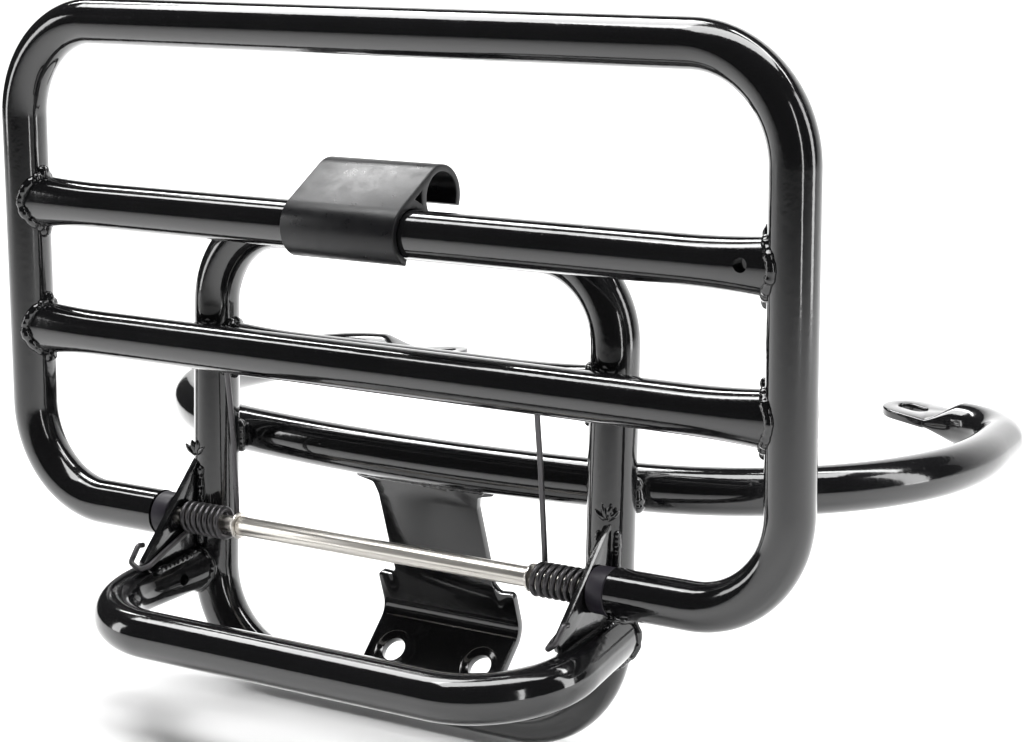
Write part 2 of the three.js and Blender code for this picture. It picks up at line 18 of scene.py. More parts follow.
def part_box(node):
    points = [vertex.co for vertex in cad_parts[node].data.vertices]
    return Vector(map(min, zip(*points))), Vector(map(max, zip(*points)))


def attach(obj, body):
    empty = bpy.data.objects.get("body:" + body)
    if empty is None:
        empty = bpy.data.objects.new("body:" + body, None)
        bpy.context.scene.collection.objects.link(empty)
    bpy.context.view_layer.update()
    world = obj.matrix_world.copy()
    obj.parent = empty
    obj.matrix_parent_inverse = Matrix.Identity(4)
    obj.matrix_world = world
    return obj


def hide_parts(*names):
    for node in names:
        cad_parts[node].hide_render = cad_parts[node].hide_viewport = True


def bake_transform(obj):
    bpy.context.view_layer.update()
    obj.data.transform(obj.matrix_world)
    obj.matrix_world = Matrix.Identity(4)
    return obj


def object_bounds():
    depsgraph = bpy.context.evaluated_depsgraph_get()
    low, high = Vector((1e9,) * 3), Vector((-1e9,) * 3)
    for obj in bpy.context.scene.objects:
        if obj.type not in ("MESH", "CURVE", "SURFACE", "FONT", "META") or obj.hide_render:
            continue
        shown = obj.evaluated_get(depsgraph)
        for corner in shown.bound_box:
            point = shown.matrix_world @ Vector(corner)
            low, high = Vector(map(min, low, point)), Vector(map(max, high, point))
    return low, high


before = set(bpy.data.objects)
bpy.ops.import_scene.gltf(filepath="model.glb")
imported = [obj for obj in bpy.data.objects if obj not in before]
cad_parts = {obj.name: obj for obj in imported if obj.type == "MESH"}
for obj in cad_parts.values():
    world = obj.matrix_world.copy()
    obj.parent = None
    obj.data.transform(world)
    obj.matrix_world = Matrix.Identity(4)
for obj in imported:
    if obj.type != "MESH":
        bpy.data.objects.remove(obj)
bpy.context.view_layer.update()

# %% [markdown]
# ## Where things are
# The axle is the one place that every piece can be measured from, so the pieces are drawn in
# millimetres from its middle, and moved to the CAD's own place when they are finished.

# %% The axle is the datum
MM = 0.001
axle_low, axle_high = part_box("axle_rod")
AXLE = (axle_low + axle_high) / 2
X = Vector((1, 0, 0))
Z = Vector((0, 0, 1))
print("axle at", tuple(round(value, 5) for value in AXLE))

# %% Sizes of the tubes, in millimetres
TUBE_R = 10.0
WALL = 1.5
TUBE_SIDES = 48
BEND_STEP = 3.0

PLATFORM_LEAN = math.radians(1.05)
PLATFORM_UP = Vector((0, math.sin(PLATFORM_LEAN), math.cos(PLATFORM_LEAN)))
PLATFORM_HALF = 194.2
PLATFORM_HEIGHT = 214.8
PLATFORM_TOP_R = 44.0
PLATFORM_BOTTOM_R = 42.0
STUB_END = 118.0
LOWER_BAR = 76.9
UPPER_BAR = 134.1

HOOP_LEAN = math.radians(3.5)
HOOP_UP = Vector((0, math.sin(HOOP_LEAN), math.cos(HOOP_LEAN)))
HOOP_FOOT = Vector((0, 18.6, 0))
HOOP_HALF = 103.4
HOOP_TOP = 128.7
HOOP_BOTTOM = -66.1
HOOP_TOP_R = 36.5
HOOP_BOTTOM_R = 41.5
HOOP_BAR = 73.0

# %% [markdown]
# ## Materials
# Gloss black paint is nearly all reflection. What makes it look like paint is small: a ripple of
# about two millimetres called orange peel, a few dust nibs under the film, and smears that change
# the gloss a little. Each is a noise on Object coordinates, so it stays put on the metal.

# %% Node helpers for the finishes
def new_finish(name):
    finish = bpy.data.materials.new(name)
    finish.use_nodes = True
    nodes = finish.node_tree.nodes
    links = finish.node_tree.links
    shader = nodes["Principled BSDF"]
    coords = nodes.new("ShaderNodeTexCoord")
    return finish, nodes, links, shader, coords.outputs["Object"]


def noise_on(nodes, links, coords, scale, detail=3.0, roughness=0.5):
    texture = nodes.new("ShaderNodeTexNoise")
    texture.inputs["Scale"].default_value = scale
    texture.inputs["Detail"].default_value = detail
    texture.inputs["Roughness"].default_value = roughness
    links.new(coords, texture.inputs["Vector"])
    return texture.outputs["Fac"]


def remap(nodes, links, value, low, high, to_low, to_high):
    node = nodes.new("ShaderNodeMapRange")
    node.inputs["From Min"].default_value = low
    node.inputs["From Max"].default_value = high
    node.inputs["To Min"].default_value = to_low
    node.inputs["To Max"].default_value = to_high
    links.new(value, node.inputs["Value"])
    return node.outputs["Result"]


def blend_colours(nodes, links, factor, first, second):
    node = nodes.new("ShaderNodeMix")
    node.data_type = "RGBA"
    node.inputs["A"].default_value = (*first, 1)
    node.inputs["B"].default_value = (*second, 1)
    links.new(factor, node.inputs["Factor"])
    return node.outputs["Result"]


def bump(nodes, links, height, strength, distance, under=None):
    node = nodes.new("ShaderNodeBump")
    node.inputs["Strength"].default_value = strength
    node.inputs["Distance"].default_value = distance
    links.new(height, node.inputs["Height"])
    if under is not None:
        links.new(under, node.inputs["Normal"])
    return node.outputs["Normal"]


# %% Gloss black paint
def gloss_paint(name, peel=0.16, smear=0.05):
    finish, nodes, links, shader, coords = new_finish(name)
    cloudy = noise_on(nodes, links, coords, 18, 4)
    film = blend_colours(nodes, links, cloudy, (0.0035, 0.0035, 0.004), (0.008, 0.008, 0.0085))
    nibs = noise_on(nodes, links, coords, 900, 1)
    nib_height = remap(nodes, links, nibs, 0.74, 0.8, 0, 1)
    wipes = noise_on(nodes, links, coords, 45, 5, 0.6)
    gloss = remap(nodes, links, wipes, 0.35, 0.75, 0.07, 0.07 + 2 * smear)
    ripple = noise_on(nodes, links, coords, 380, 1)
    skin = bump(nodes, links, ripple, peel, 0.0003)
    skin = bump(nodes, links, nib_height, 0.25, 0.0001, skin)
    links.new(film, shader.inputs["Base Color"])
    links.new(gloss, shader.inputs["Roughness"])
    links.new(skin, shader.inputs["Normal"])
    shader.inputs["Coat Weight"].default_value = 0.6
    shader.inputs["Coat Roughness"].default_value = 0.04
    return finish


frame_paint = gloss_paint("frame_paint")
platform_paint = gloss_paint("platform_paint")
bracket_paint = gloss_paint("bracket_paint", peel=0.1, smear=0.07)
plate_paint = gloss_paint("plate_paint", peel=0.25, smear=0.1)
print("paints made")

# %% Plated steel, spring steel and the two plastics
def plated_steel(name):
    finish, nodes, links, shader, coords = new_finish(name)
    stretch = nodes.new("ShaderNodeMapping")
    stretch.inputs["Scale"].default_value = (12, 900, 900)
    links.new(coords, stretch.inputs["Vector"])
    draw_lines = noise_on(nodes, links, stretch.outputs["Vector"], 1, 3)
    tarnish = noise_on(nodes, links, coords, 70, 4)
    colour = blend_colours(nodes, links, tarnish, (0.90, 0.87, 0.82), (0.78, 0.74, 0.68))
    gloss = remap(nodes, links, draw_lines, 0.3, 0.7, 0.26, 0.42)
    links.new(colour, shader.inputs["Base Color"])
    links.new(gloss, shader.inputs["Roughness"])
    links.new(bump(nodes, links, draw_lines, 0.06, 0.0002), shader.inputs["Normal"])
    shader.inputs["Metallic"].default_value = 1
    return finish


def spring_steel(name):
    finish, nodes, links, shader, coords = new_finish(name)
    oil = noise_on(nodes, links, coords, 260, 4)
    scale_marks = noise_on(nodes, links, coords, 1400, 3)
    colour = blend_colours(nodes, links, oil, (0.055, 0.054, 0.056), (0.12, 0.115, 0.12))
    gloss = remap(nodes, links, oil, 0.3, 0.7, 0.26, 0.5)
    links.new(colour, shader.inputs["Base Color"])
    links.new(gloss, shader.inputs["Roughness"])
    links.new(bump(nodes, links, scale_marks, 0.2, 0.0001), shader.inputs["Normal"])
    shader.inputs["Metallic"].default_value = 0.85
    return finish


def moulded_plastic(name, dark, light, rough, grain):
    finish, nodes, links, shader, coords = new_finish(name)
    cloudy = noise_on(nodes, links, coords, 60, 4)
    spark = noise_on(nodes, links, coords, 2600, 2)
    wear = noise_on(nodes, links, coords, 150, 5, 0.65)
    colour = blend_colours(nodes, links, cloudy, dark, light)
    gloss = remap(nodes, links, wear, 0.3, 0.75, rough - 0.05, rough + 0.12)
    links.new(colour, shader.inputs["Base Color"])
    links.new(gloss, shader.inputs["Roughness"])
    links.new(bump(nodes, links, spark, grain, 0.0001), shader.inputs["Normal"])
    shader.inputs["Specular IOR Level"].default_value = 0.3
    return finish


axle_nickel = plated_steel("axle_nickel")
spring_wire = spring_steel("spring_steel")
clip_plastic = moulded_plastic("clip_plastic", (0.006, 0.006, 0.007), (0.010, 0.010, 0.011), 0.3, 0.2)
bush_plastic = moulded_plastic("bush_plastic", (0.016, 0.014, 0.020), (0.028, 0.025, 0.033), 0.42, 0.3)
print("metals and plastics made")

# %% [markdown]
# ## A tube bender
# Each tube could be a curve with a round bevel. A ring of edges that is fed along and spun round
# each bend makes the same tube the way a bender does, with even rings in every bend, and its end
# ring stays at hand to be pressed, flared or coped.

# %% The bender
def towards(heading, up):
    """A turn that puts a circle's own Z along heading and its own Y near up."""
    forward = heading.normalized()
    side = up.cross(forward).normalized()
    return Matrix((side, forward.cross(side), forward)).transposed()


def edges_among(verts):
    """The edges that join these vertices to each other, in an order that never changes."""
    chosen = set(verts)
    edges = [edge for vert in verts for edge in vert.link_edges]
    return [edge for edge in dict.fromkeys(edges) if set(edge.verts) <= chosen]


def verts_in(geometry):
    return [item for item in geometry if isinstance(item, bmesh.types.BMVert)]


class Tube:
    def __init__(self, start, heading, up, radius=TUBE_R, sides=TUBE_SIDES):
        self.mesh = bmesh.new()
        self.place = Vector(start)
        self.heading = Vector(heading).normalized()
        self.up = Vector(up)
        self.radius = radius
        matrix = Matrix.Translation(self.place) @ towards(self.heading, self.up).to_4x4()
        made = bmesh.ops.create_circle(self.mesh, segments=sides, radius=radius, matrix=matrix)
        self.verts = made["verts"]
        self.first = list(self.verts)

    @property
    def ring(self):
        return edges_among(self.verts)

    def extrude(self):
        self.verts = verts_in(bmesh.ops.extrude_edge_only(self.mesh, edges=self.ring)["geom"])

    def feed(self, length):
        self.extrude()
        step = self.heading * length
        bmesh.ops.translate(self.mesh, verts=self.verts, vec=step)
        self.place = self.place + step
        return self

    def bend(self, radius, degrees, axis, pitch=0.0, step=BEND_STEP):
        """Turn about axis by the right-hand rule. Pitch is the travel along axis in one turn."""
        axis = Vector(axis).normalized()
        centre = self.place + radius * axis.cross(self.heading)
        steps = max(2, math.ceil(degrees / step))
        travel = axis * pitch * degrees / 360
        made = bmesh.ops.spin(
            self.mesh,
            geom=self.ring + list(self.verts),
            cent=centre,
            axis=axis,
            angle=math.radians(degrees),
            dvec=travel / steps,
            steps=steps,
            use_duplicate=False,
        )
        self.verts = verts_in(made["geom_last"])
        turn = Matrix.Rotation(math.radians(degrees), 3, axis)
        self.place = centre + turn @ (self.place - centre) + travel
        self.heading = turn @ self.heading
        self.up = turn @ self.up
        return self

    def aim(self, target):
        """A mitre: the ring tips so that the tube points at target."""
        wanted = (Vector(target) - self.place).normalized()
        turn = self.heading.rotation_difference(wanted).to_matrix()
        bmesh.ops.rotate(self.mesh, cent=self.place, matrix=turn, verts=self.verts)
        self.heading = wanted
        self.up = turn @ self.up
        return self

    def through(self, corners, radius, step=12.0):
        """Straight runs between corner points, with the same bend radius at each."""
        corners = [Vector(corner) for corner in corners]
        for corner, after in zip(corners, corners[1:]):
            leaving = (after - corner).normalized()
            angle = self.heading.angle(leaving)
            trim = radius * math.tan(angle / 2)
            self.feed((corner - self.place).length - trim)
            self.bend(radius, math.degrees(angle), self.heading.cross(leaving), step=step)
        return self.feed((corners[-1] - self.place).length)

    def cap(self):
        bmesh.ops.holes_fill(self.mesh, edges=self.ring, sides=0)
        return self


def cap_start(tube):
    """Closes the ring that the tube started from."""
    bmesh.ops.holes_fill(tube.mesh, edges=edges_among(tube.first), sides=0)


# %% [markdown]
# ## Placing a finished piece
# A piece is drawn in millimetres round the axle. Finishing it makes its normals face outwards,
# scales it to metres, moves it to the axle, and puts it on its body in place of its CAD node.

# %% Finish a piece
SMOOTH_LIMIT = math.radians(38)


def finish_piece(mesh, name, body, paint, nodes=(), mirror=False, ride=True):
    if mirror:
        bmesh.ops.scale(mesh, vec=(-1, 1, 1), verts=mesh.verts)
    bmesh.ops.remove_doubles(mesh, verts=mesh.verts, dist=1e-4)
    bmesh.ops.recalc_face_normals(mesh, faces=mesh.faces)
    bmesh.ops.scale(mesh, vec=(MM, MM, MM), verts=mesh.verts)
    bmesh.ops.translate(mesh, vec=AXLE, verts=mesh.verts)
    data = bpy.data.meshes.new(name)
    mesh.to_mesh(data)
    mesh.free()
    data.shade_smooth()
    data.set_sharp_from_angle(angle=SMOOTH_LIMIT)
    data.materials.append(paint)
    piece = bpy.data.objects.new(name, data)
    bpy.context.scene.collection.objects.link(piece)
    if ride:
        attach(piece, body)
    if nodes:
        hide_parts(*nodes)
    print(f"{name}: {len(data.polygons)} faces")
    return piece


def merge_into(mesh, other):
    """Adds the shells of one bmesh to another."""
    spare = bpy.data.meshes.new("spare")
    other.to_mesh(spare)
    other.free()
    mesh.from_mesh(spare)
    bpy.data.meshes.remove(spare)
    return mesh


# %% [markdown]
# ## The platform's outer tube
# One tube is bent four times and ends in two short stubs that point at each other. The stubs are
# open and hold the hinge bushes, so each gets a real wall: its end ring is drawn in to the bore
# and pushed back up the tube.

# %% Platform tube
def hollow_end(tube, depth, into):
    """Turns the last ring into a wall and a bore that runs back into the tube."""
    tube.extrude()
    shrink = (TUBE_R - WALL) / TUBE_R
    middle = Matrix.Translation(-tube.place)
    bmesh.ops.scale(tube.mesh, vec=(shrink, shrink, shrink), space=middle, verts=tube.verts)
    tube.extrude()
    bmesh.ops.translate(tube.mesh, vec=into * depth, verts=tube.verts)
    bmesh.ops.holes_fill(tube.mesh, edges=tube.ring, sides=0)


platform_turn = X.cross(PLATFORM_UP)
stub = PLATFORM_HALF - STUB_END - PLATFORM_BOTTOM_R
side = PLATFORM_HEIGHT - PLATFORM_TOP_R - PLATFORM_BOTTOM_R
tube = Tube((STUB_END, 0, 0), X, PLATFORM_UP)
tube.feed(stub).bend(PLATFORM_BOTTOM_R, 90, platform_turn).feed(side)
tube.bend(PLATFORM_TOP_R, 90, platform_turn).feed(2 * (PLATFORM_HALF - PLATFORM_TOP_R))
tube.bend(PLATFORM_TOP_R, 90, platform_turn).feed(side)
tube.bend(PLATFORM_BOTTOM_R, 90, platform_turn).feed(stub)
hollow_end(tube, 20, -X)
tube.verts = tube.first
tube.place = Vector((STUB_END, 0, 0))
hollow_end(tube, 20, X)
finish_piece(tube.mesh, "platform_tube_look", "platform", platform_paint, ["platform_tube"])

# %% [markdown]
# ## Crossbars
# A crossbar's ends are squashed in a press before they are coped to the side tubes, so near each
# weld the bar is taller and flatter. Each end ring is stretched in height, pressed in depth, and
# then every point of it slides along the bar until it lies on the side tube's skin.

# %% Coping and flaring
FLARE_LENGTH = 36.0
FLARE_RINGS = 12
FLARE_TALL = 1.15
FLARE_DEEP = 0.9


def slide_to_tube(point, heading, on_axis, axis, radius=TUBE_R):
    """Where a line from point along heading first meets a round tube, or passes closest."""
    away = point - on_axis
    away = away - axis * away.dot(axis)
    across = heading - axis * heading.dot(axis)
    a = across.dot(across)
    b = away.dot(across)
    c = away.dot(away) - radius * radius
    root = math.sqrt(max(b * b - a * c, 0))
    return point + heading * ((-b - root) / a)


def ease(amount):
    return amount * amount * (3 - 2 * amount)


def half_crossbar(middle, up, reach, heading):
    """Half a crossbar, from its middle to the side tube whose centre is reach away."""
    half = Tube(middle, heading, up)
    half.feed(reach - TUBE_R - FLARE_LENGTH)
    before = 0.0
    for ring in range(1, FLARE_RINGS + 1):
        half.feed(FLARE_LENGTH / FLARE_RINGS)
        now = (ring / FLARE_RINGS) ** 2
        turn = towards(half.heading, half.up).to_4x4()
        space = (Matrix.Translation(half.place) @ turn).inverted()
        width = (1 + (FLARE_DEEP - 1) * now) / (1 + (FLARE_DEEP - 1) * before)
        height = (1 + (FLARE_TALL - 1) * now) / (1 + (FLARE_TALL - 1) * before)
        bmesh.ops.scale(half.mesh, vec=(width, height, 1), space=space, verts=half.verts)
        before = now
    half.extrude()
    on_axis = Vector(middle) + heading * reach
    for vert in half.verts:
        vert.co = slide_to_tube(vert.co, heading, on_axis, up)
    return half


def crossbar(middle, up, reach):
    """The whole bar, and the closed line of points round each end, for its welds."""
    right = half_crossbar(middle, up, reach, X)
    left = half_crossbar(middle, up, reach, -X)
    seams = [ordered_ring(half) for half in (right, left)]
    for half in (right, left):
        half.cap()
    return merge_into(right.mesh, left.mesh), seams


def ordered_ring(tube):
    """The last ring's points in order round the ring."""
    chosen = set(tube.verts)
    order = [tube.verts[0]]
    while len(order) < len(chosen):
        for edge in order[-1].link_edges:
            other = edge.other_vert(order[-1])
            if other in chosen and other not in order[-2:]:
                order.append(other)
                break
    return [vert.co.copy() for vert in order]


# %% The three crossbars
lower_mesh, lower_seams = crossbar(PLATFORM_UP * LOWER_BAR, PLATFORM_UP, PLATFORM_HALF)
upper_mesh, upper_seams = crossbar(PLATFORM_UP * UPPER_BAR, PLATFORM_UP, PLATFORM_HALF)
hoop_mesh, hoop_bar_seams = crossbar(HOOP_FOOT + HOOP_UP * HOOP_BAR, HOOP_UP, HOOP_HALF)
finish_piece(
    lower_mesh, "lower_crossbar_look", "platform", platform_paint,
    ["platform_lower_crossbar"],
)
upper_bar = finish_piece(
    upper_mesh, "upper_crossbar_look", "platform", platform_paint,
    ["platform_upper_crossbar"],
)
finish_piece(hoop_mesh, "hoop_crossbar_look", "fixed_frame", frame_paint, ["hoop_crossbar"])

# %% [markdown]
# ## The hoop
# The hoop is one tube bent into a closed loop and butt welded to itself, so the last ring is
# merged with the first.

# %% Fixed hoop
hoop_turn = X.cross(HOOP_UP)
hoop_side = HOOP_TOP - HOOP_BOTTOM - HOOP_TOP_R - HOOP_BOTTOM_R
tube = Tube(HOOP_FOOT + HOOP_UP * HOOP_BOTTOM, X, HOOP_UP)
tube.feed(HOOP_HALF - HOOP_BOTTOM_R).bend(HOOP_BOTTOM_R, 90, hoop_turn).feed(hoop_side)
tube.bend(HOOP_TOP_R, 90, hoop_turn).feed(2 * (HOOP_HALF - HOOP_TOP_R))
tube.bend(HOOP_TOP_R, 90, hoop_turn).feed(hoop_side)
tube.bend(HOOP_BOTTOM_R, 90, hoop_turn).feed(HOOP_HALF - HOOP_BOTTOM_R)
bmesh.ops.remove_doubles(tube.mesh, verts=tube.mesh.verts, dist=0.01)
finish_piece(tube.mesh, "fixed_hoop_look", "fixed_frame", frame_paint, ["fixed_hoop"])

# %% [markdown]
# ## Flat patterns
# The bracket, the hinge plates, the eyelets and the clip all start as an outline that a pen draws
# with straight lines and arcs. An arc is one vertex spun round a centre. The outline and its
# holes are filled, given a thickness, and their cut edges are rounded.

# %% The pen
class Pen:
    def __init__(self, start):
        self.mesh = bmesh.new()
        self.tip = self.mesh.verts.new((*start, 0))
        self.start = self.tip

    def line(self, u, v):
        made = bmesh.ops.extrude_vert_indiv(self.mesh, verts=[self.tip])
        self.tip = made["verts"][0]
        self.tip.co = (u, v, 0)
        return self

    def arc(self, centre, degrees, step=7.5):
        """Positive degrees turn anticlockwise."""
        steps = max(3, math.ceil(abs(degrees) / step))
        made = bmesh.ops.spin(
            self.mesh,
            geom=[self.tip],
            cent=(*centre, 0),
            axis=(0, 0, 1),
            angle=math.radians(degrees),
            steps=steps,
            use_duplicate=False,
        )
        self.tip = verts_in(made["geom_last"])[0]
        return self

    def rounded(self, corners):
        """Lines through corners given as (u, v, radius), with an arc at each."""
        points = [Vector(corner[:2]) for corner in corners]
        for index, (u, v, radius) in enumerate(corners[:-1]):
            here = Vector(self.tip.co[:2])
            corner = points[index]
            coming = (corner - here).normalized()
            leaving = (points[index + 1] - corner).normalized()
            turn = math.atan2(coming.cross(leaving), coming.dot(leaving))
            if radius:
                trim = radius * math.tan(abs(turn) / 2)
                entry = corner - coming * trim
                left = Vector((-coming.y, coming.x)) * math.copysign(radius, turn)
                self.line(*entry)
                self.arc(entry + left, math.degrees(turn), step=15)
            else:
                self.line(u, v)
        return self.line(*points[-1])

    def close(self):
        self.mesh.edges.new((self.tip, self.start))
        bmesh.ops.remove_doubles(self.mesh, verts=self.mesh.verts, dist=1e-3)
        return self


def add_hole(mesh, u, v, radius, sides=40):
    made = bmesh.ops.create_circle(
        mesh, segments=sides, radius=radius, matrix=Matrix.Translation((u, v, 0))
    )
    return made["verts"]


def fill_pattern(mesh):
    bmesh.ops.triangle_fill(mesh, use_beauty=True, edges=mesh.edges)
    bmesh.ops.recalc_face_normals(mesh, faces=mesh.faces)
    return mesh


def thicken(mesh, thickness):
    """Extrudes every face by thickness, half to each side of the pattern."""
    made = bmesh.ops.extrude_face_region(mesh, geom=mesh.faces, use_keep_orig=True)["geom"]
    bmesh.ops.translate(mesh, vec=(0, 0, thickness), verts=verts_in(made))
    bmesh.ops.translate(mesh, vec=(0, 0, -thickness / 2), verts=mesh.verts)
    bmesh.ops.recalc_face_normals(mesh, faces=mesh.faces)


def round_edges(mesh, width, segments=3, sharper_than=50):
    limit = math.radians(sharper_than)
    edges = [edge for edge in mesh.edges if edge.is_manifold and edge.calc_face_angle() > limit]
    bmesh.ops.bevel(
        mesh, geom=edges, offset=width, segments=segments, profile=0.5,
        affect="EDGES", material=-1, clamp_overlap=True,
    )


# %% [markdown]
# ## The side bow and its eyelets
# Two arcs and a return bend make each half. The last stretch is pressed flat between dies: the
# round ring turns into a flat oblong over the length of the die, and the flat is punched with a
# slot and trimmed to a round tip.

# %% Side bow
BOW_FALL = math.radians(0.86)
BOW_ALONG = Vector((0, math.cos(BOW_FALL), -math.sin(BOW_FALL)))
BOW_MIDDLE = Vector((0, 32.5, 31.7))
PRESS_LENGTH = 17.5
PRESS_RINGS = 14
EYELET_WIDTH = 27.0
EYELET_THICKNESS = 4.0
EYELET_LENGTH = 30.0
SLOT_WIDTH = 8.6
SLOT_LENGTH = 15.0
SLOT_MIDDLE = 16.0
EYELET_RISE = math.radians(4)


def press_flat(tube, amount, angles):
    """Moves the last ring's points from a circle towards a flat oblong with rounded edges."""
    turn = towards(tube.heading, tube.up)
    inward = turn.transposed()
    for vert, angle in zip(tube.verts, angles):
        flatness = 1 - 0.62 * amount
        across = math.copysign(abs(math.cos(angle)) ** flatness, math.cos(angle))
        high = math.copysign(abs(math.sin(angle)) ** flatness, math.sin(angle))
        width = TUBE_R + (EYELET_WIDTH / 2 - TUBE_R) * amount
        height = TUBE_R + (EYELET_THICKNESS / 2 - TUBE_R) * amount
        local = Vector((across * width, high * height, (inward @ (vert.co - tube.place)).z))
        vert.co = tube.place + turn @ local


def ring_angles(tube):
    inward = towards(tube.heading, tube.up).transposed()
    local = [inward @ (vert.co - tube.place) for vert in tube.verts]
    return [math.atan2(point.y, point.x) for point in local]


def eyelet_plate():
    half = EYELET_WIDTH / 2
    tip_centre = EYELET_LENGTH - half
    pen = Pen((half, -2))
    pen.line(half, tip_centre).arc((0, tip_centre), 180).line(-half, -2).close()
    slot_r = SLOT_WIDTH / 2
    run = (SLOT_LENGTH - SLOT_WIDTH) / 2
    slot = Pen((slot_r, SLOT_MIDDLE - run))
    slot.line(slot_r, SLOT_MIDDLE + run).arc((0, SLOT_MIDDLE + run), 180)
    slot.line(-slot_r, SLOT_MIDDLE - run).arc((0, SLOT_MIDDLE - run), 180).close()
    merge_into(pen.mesh, slot.mesh)
    fill_pattern(pen.mesh)
    thicken(pen.mesh, EYELET_THICKNESS)
    round_edges(pen.mesh, 0.8)
    return pen.mesh


def half_bow(sign):
    """sign is 1 for the right half and -1 for the left."""
    turn_axis = X.cross(BOW_ALONG) * sign
    half = Tube(BOW_MIDDLE, X * sign, X.cross(BOW_ALONG))
    half.bend(600, 9.65, turn_axis, step=1.5).bend(116, 89.45, turn_axis)
    half.feed(20).bend(35, 64.4, turn_axis).feed(4.5)
    angles = ring_angles(half)
    for ring in range(1, PRESS_RINGS + 1):
        ring_before = {vert: angle for vert, angle in zip(half.verts, angles)}
        half.feed((PRESS_LENGTH - 2) / PRESS_RINGS)
        angles = [ring_before[partner_of(vert, ring_before)] for vert in half.verts]
        press_flat(half, ease(ring / PRESS_RINGS), angles)
    half.cap()
    plate = eyelet_plate()
    lie_flat = Matrix.Rotation(math.pi / 2, 4, "X")
    rise = Matrix.Rotation(-EYELET_RISE, 4, "X")
    stand = Matrix.Translation(half.place) @ towards(half.heading, half.up).to_4x4()
    bmesh.ops.transform(plate, matrix=stand @ rise @ lie_flat, verts=plate.verts)
    return merge_into(half.mesh, plate)


def partner_of(vert, ring_before):
    """The vertex of the ring before that this one was extruded from."""
    for edge in vert.link_edges:
        other = edge.other_vert(vert)
        if other in ring_before:
            return other
    raise ValueError("the ring has no partner")


bow = merge_into(half_bow(1), half_bow(-1))
finish_piece(bow, "side_bow_look", "fixed_frame", frame_paint, ["side_bow"])

# %% [markdown]
# ## The ledge
# The ledge is a U of the same tube. Its arms run back to the hoop and spread a little towards the
# front, and it carries the platform when that is folded down.

# %% Ledge tube
LEDGE_SLOPE = math.radians(5.7)
LEDGE_ALONG = Vector((0, math.cos(LEDGE_SLOPE), math.sin(LEDGE_SLOPE)))
LEDGE_FRONT = Vector((0, -62.3, -32.4))
LEDGE_START = 107.0
LEDGE_CORNER = 117.5
LEDGE_R = 39.0
ledge_reach = (HOOP_FOOT.y - LEDGE_FRONT.y) / math.cos(LEDGE_SLOPE) - 2
ledge_arm = math.hypot(LEDGE_CORNER - LEDGE_START, ledge_reach)
ledge_turn = 90 + math.degrees(math.atan2(LEDGE_CORNER - LEDGE_START, ledge_reach))
ledge_trim = LEDGE_R * math.tan(math.radians(ledge_turn / 2))
ledge_start = LEDGE_FRONT + LEDGE_ALONG * ledge_reach - X * LEDGE_START
ledge_heading = LEDGE_FRONT - X * LEDGE_CORNER - ledge_start
ledge_axis = X.cross(LEDGE_ALONG)
tube = Tube(ledge_start, ledge_heading, ledge_axis)
tube.feed(ledge_arm - ledge_trim).bend(LEDGE_R, ledge_turn, ledge_axis)
tube.feed(2 * (LEDGE_CORNER - ledge_trim)).bend(LEDGE_R, ledge_turn, ledge_axis)
tube.feed(ledge_arm - ledge_trim).cap()
cap_start(tube)
ledge = finish_piece(tube.mesh, "ledge_tube_look", "fixed_frame", frame_paint, ["ledge_tube"])

# %% [markdown]
# ## Vents
# A welded tube needs a small hole to let hot air out. There is one near the right end of the
# upper crossbar and one in the left arm of the ledge. A Boolean with a short cylinder drills each.

# %% Drill the vents
def drill(piece, centre, direction, radius, depth):
    """Cuts a pit of the given depth, both measured in millimetres from the axle."""
    mesh = bmesh.new()
    turn = Vector(direction).to_track_quat("Z", "Y").to_matrix().to_4x4()
    bmesh.ops.create_cone(
        mesh, cap_ends=True, segments=28, radius1=radius, radius2=radius, depth=2 * depth,
        matrix=Matrix.Translation(Vector(centre)) @ turn,
    )
    bmesh.ops.scale(mesh, vec=(MM, MM, MM), verts=mesh.verts)
    bmesh.ops.translate(mesh, vec=AXLE, verts=mesh.verts)
    data = bpy.data.meshes.new("drill")
    mesh.to_mesh(data)
    mesh.free()
    tool = bpy.data.objects.new("drill", data)
    bpy.context.scene.collection.objects.link(tool)
    cut = piece.modifiers.new("vent", "BOOLEAN")
    cut.operation = "DIFFERENCE"
    cut.solver = "EXACT"
    cut.object = tool
    bpy.context.view_layer.update()
    evaluated = piece.evaluated_get(bpy.context.evaluated_depsgraph_get())
    drilled = bpy.data.meshes.new_from_object(evaluated)
    piece.modifiers.remove(cut)
    piece.data = drilled
    bpy.data.objects.remove(tool)
    print(f"{piece.name}: vent drilled, {len(drilled.polygons)} faces")


upper_centre = PLATFORM_UP * (UPPER_BAR + 1.3) + X * 176.7
drill(upper_bar, upper_centre - Vector((0, TUBE_R, 0)), (0, 1, 0), 2.8, 4)
drill(ledge, (-98, -8, -26.5), (1, 0, 0), 2.6, 6)

# %% [markdown]
# ## Hinge plates
# Two plates of three millimetre sheet are welded to the hoop and the ledge, and hold the axle.
# The pattern is drawn in the side view and turned so that its thickness runs across the rack.

# %% Hinge plates
PLATE_INNER = 105.8
PLATE_THICKNESS = 3.0


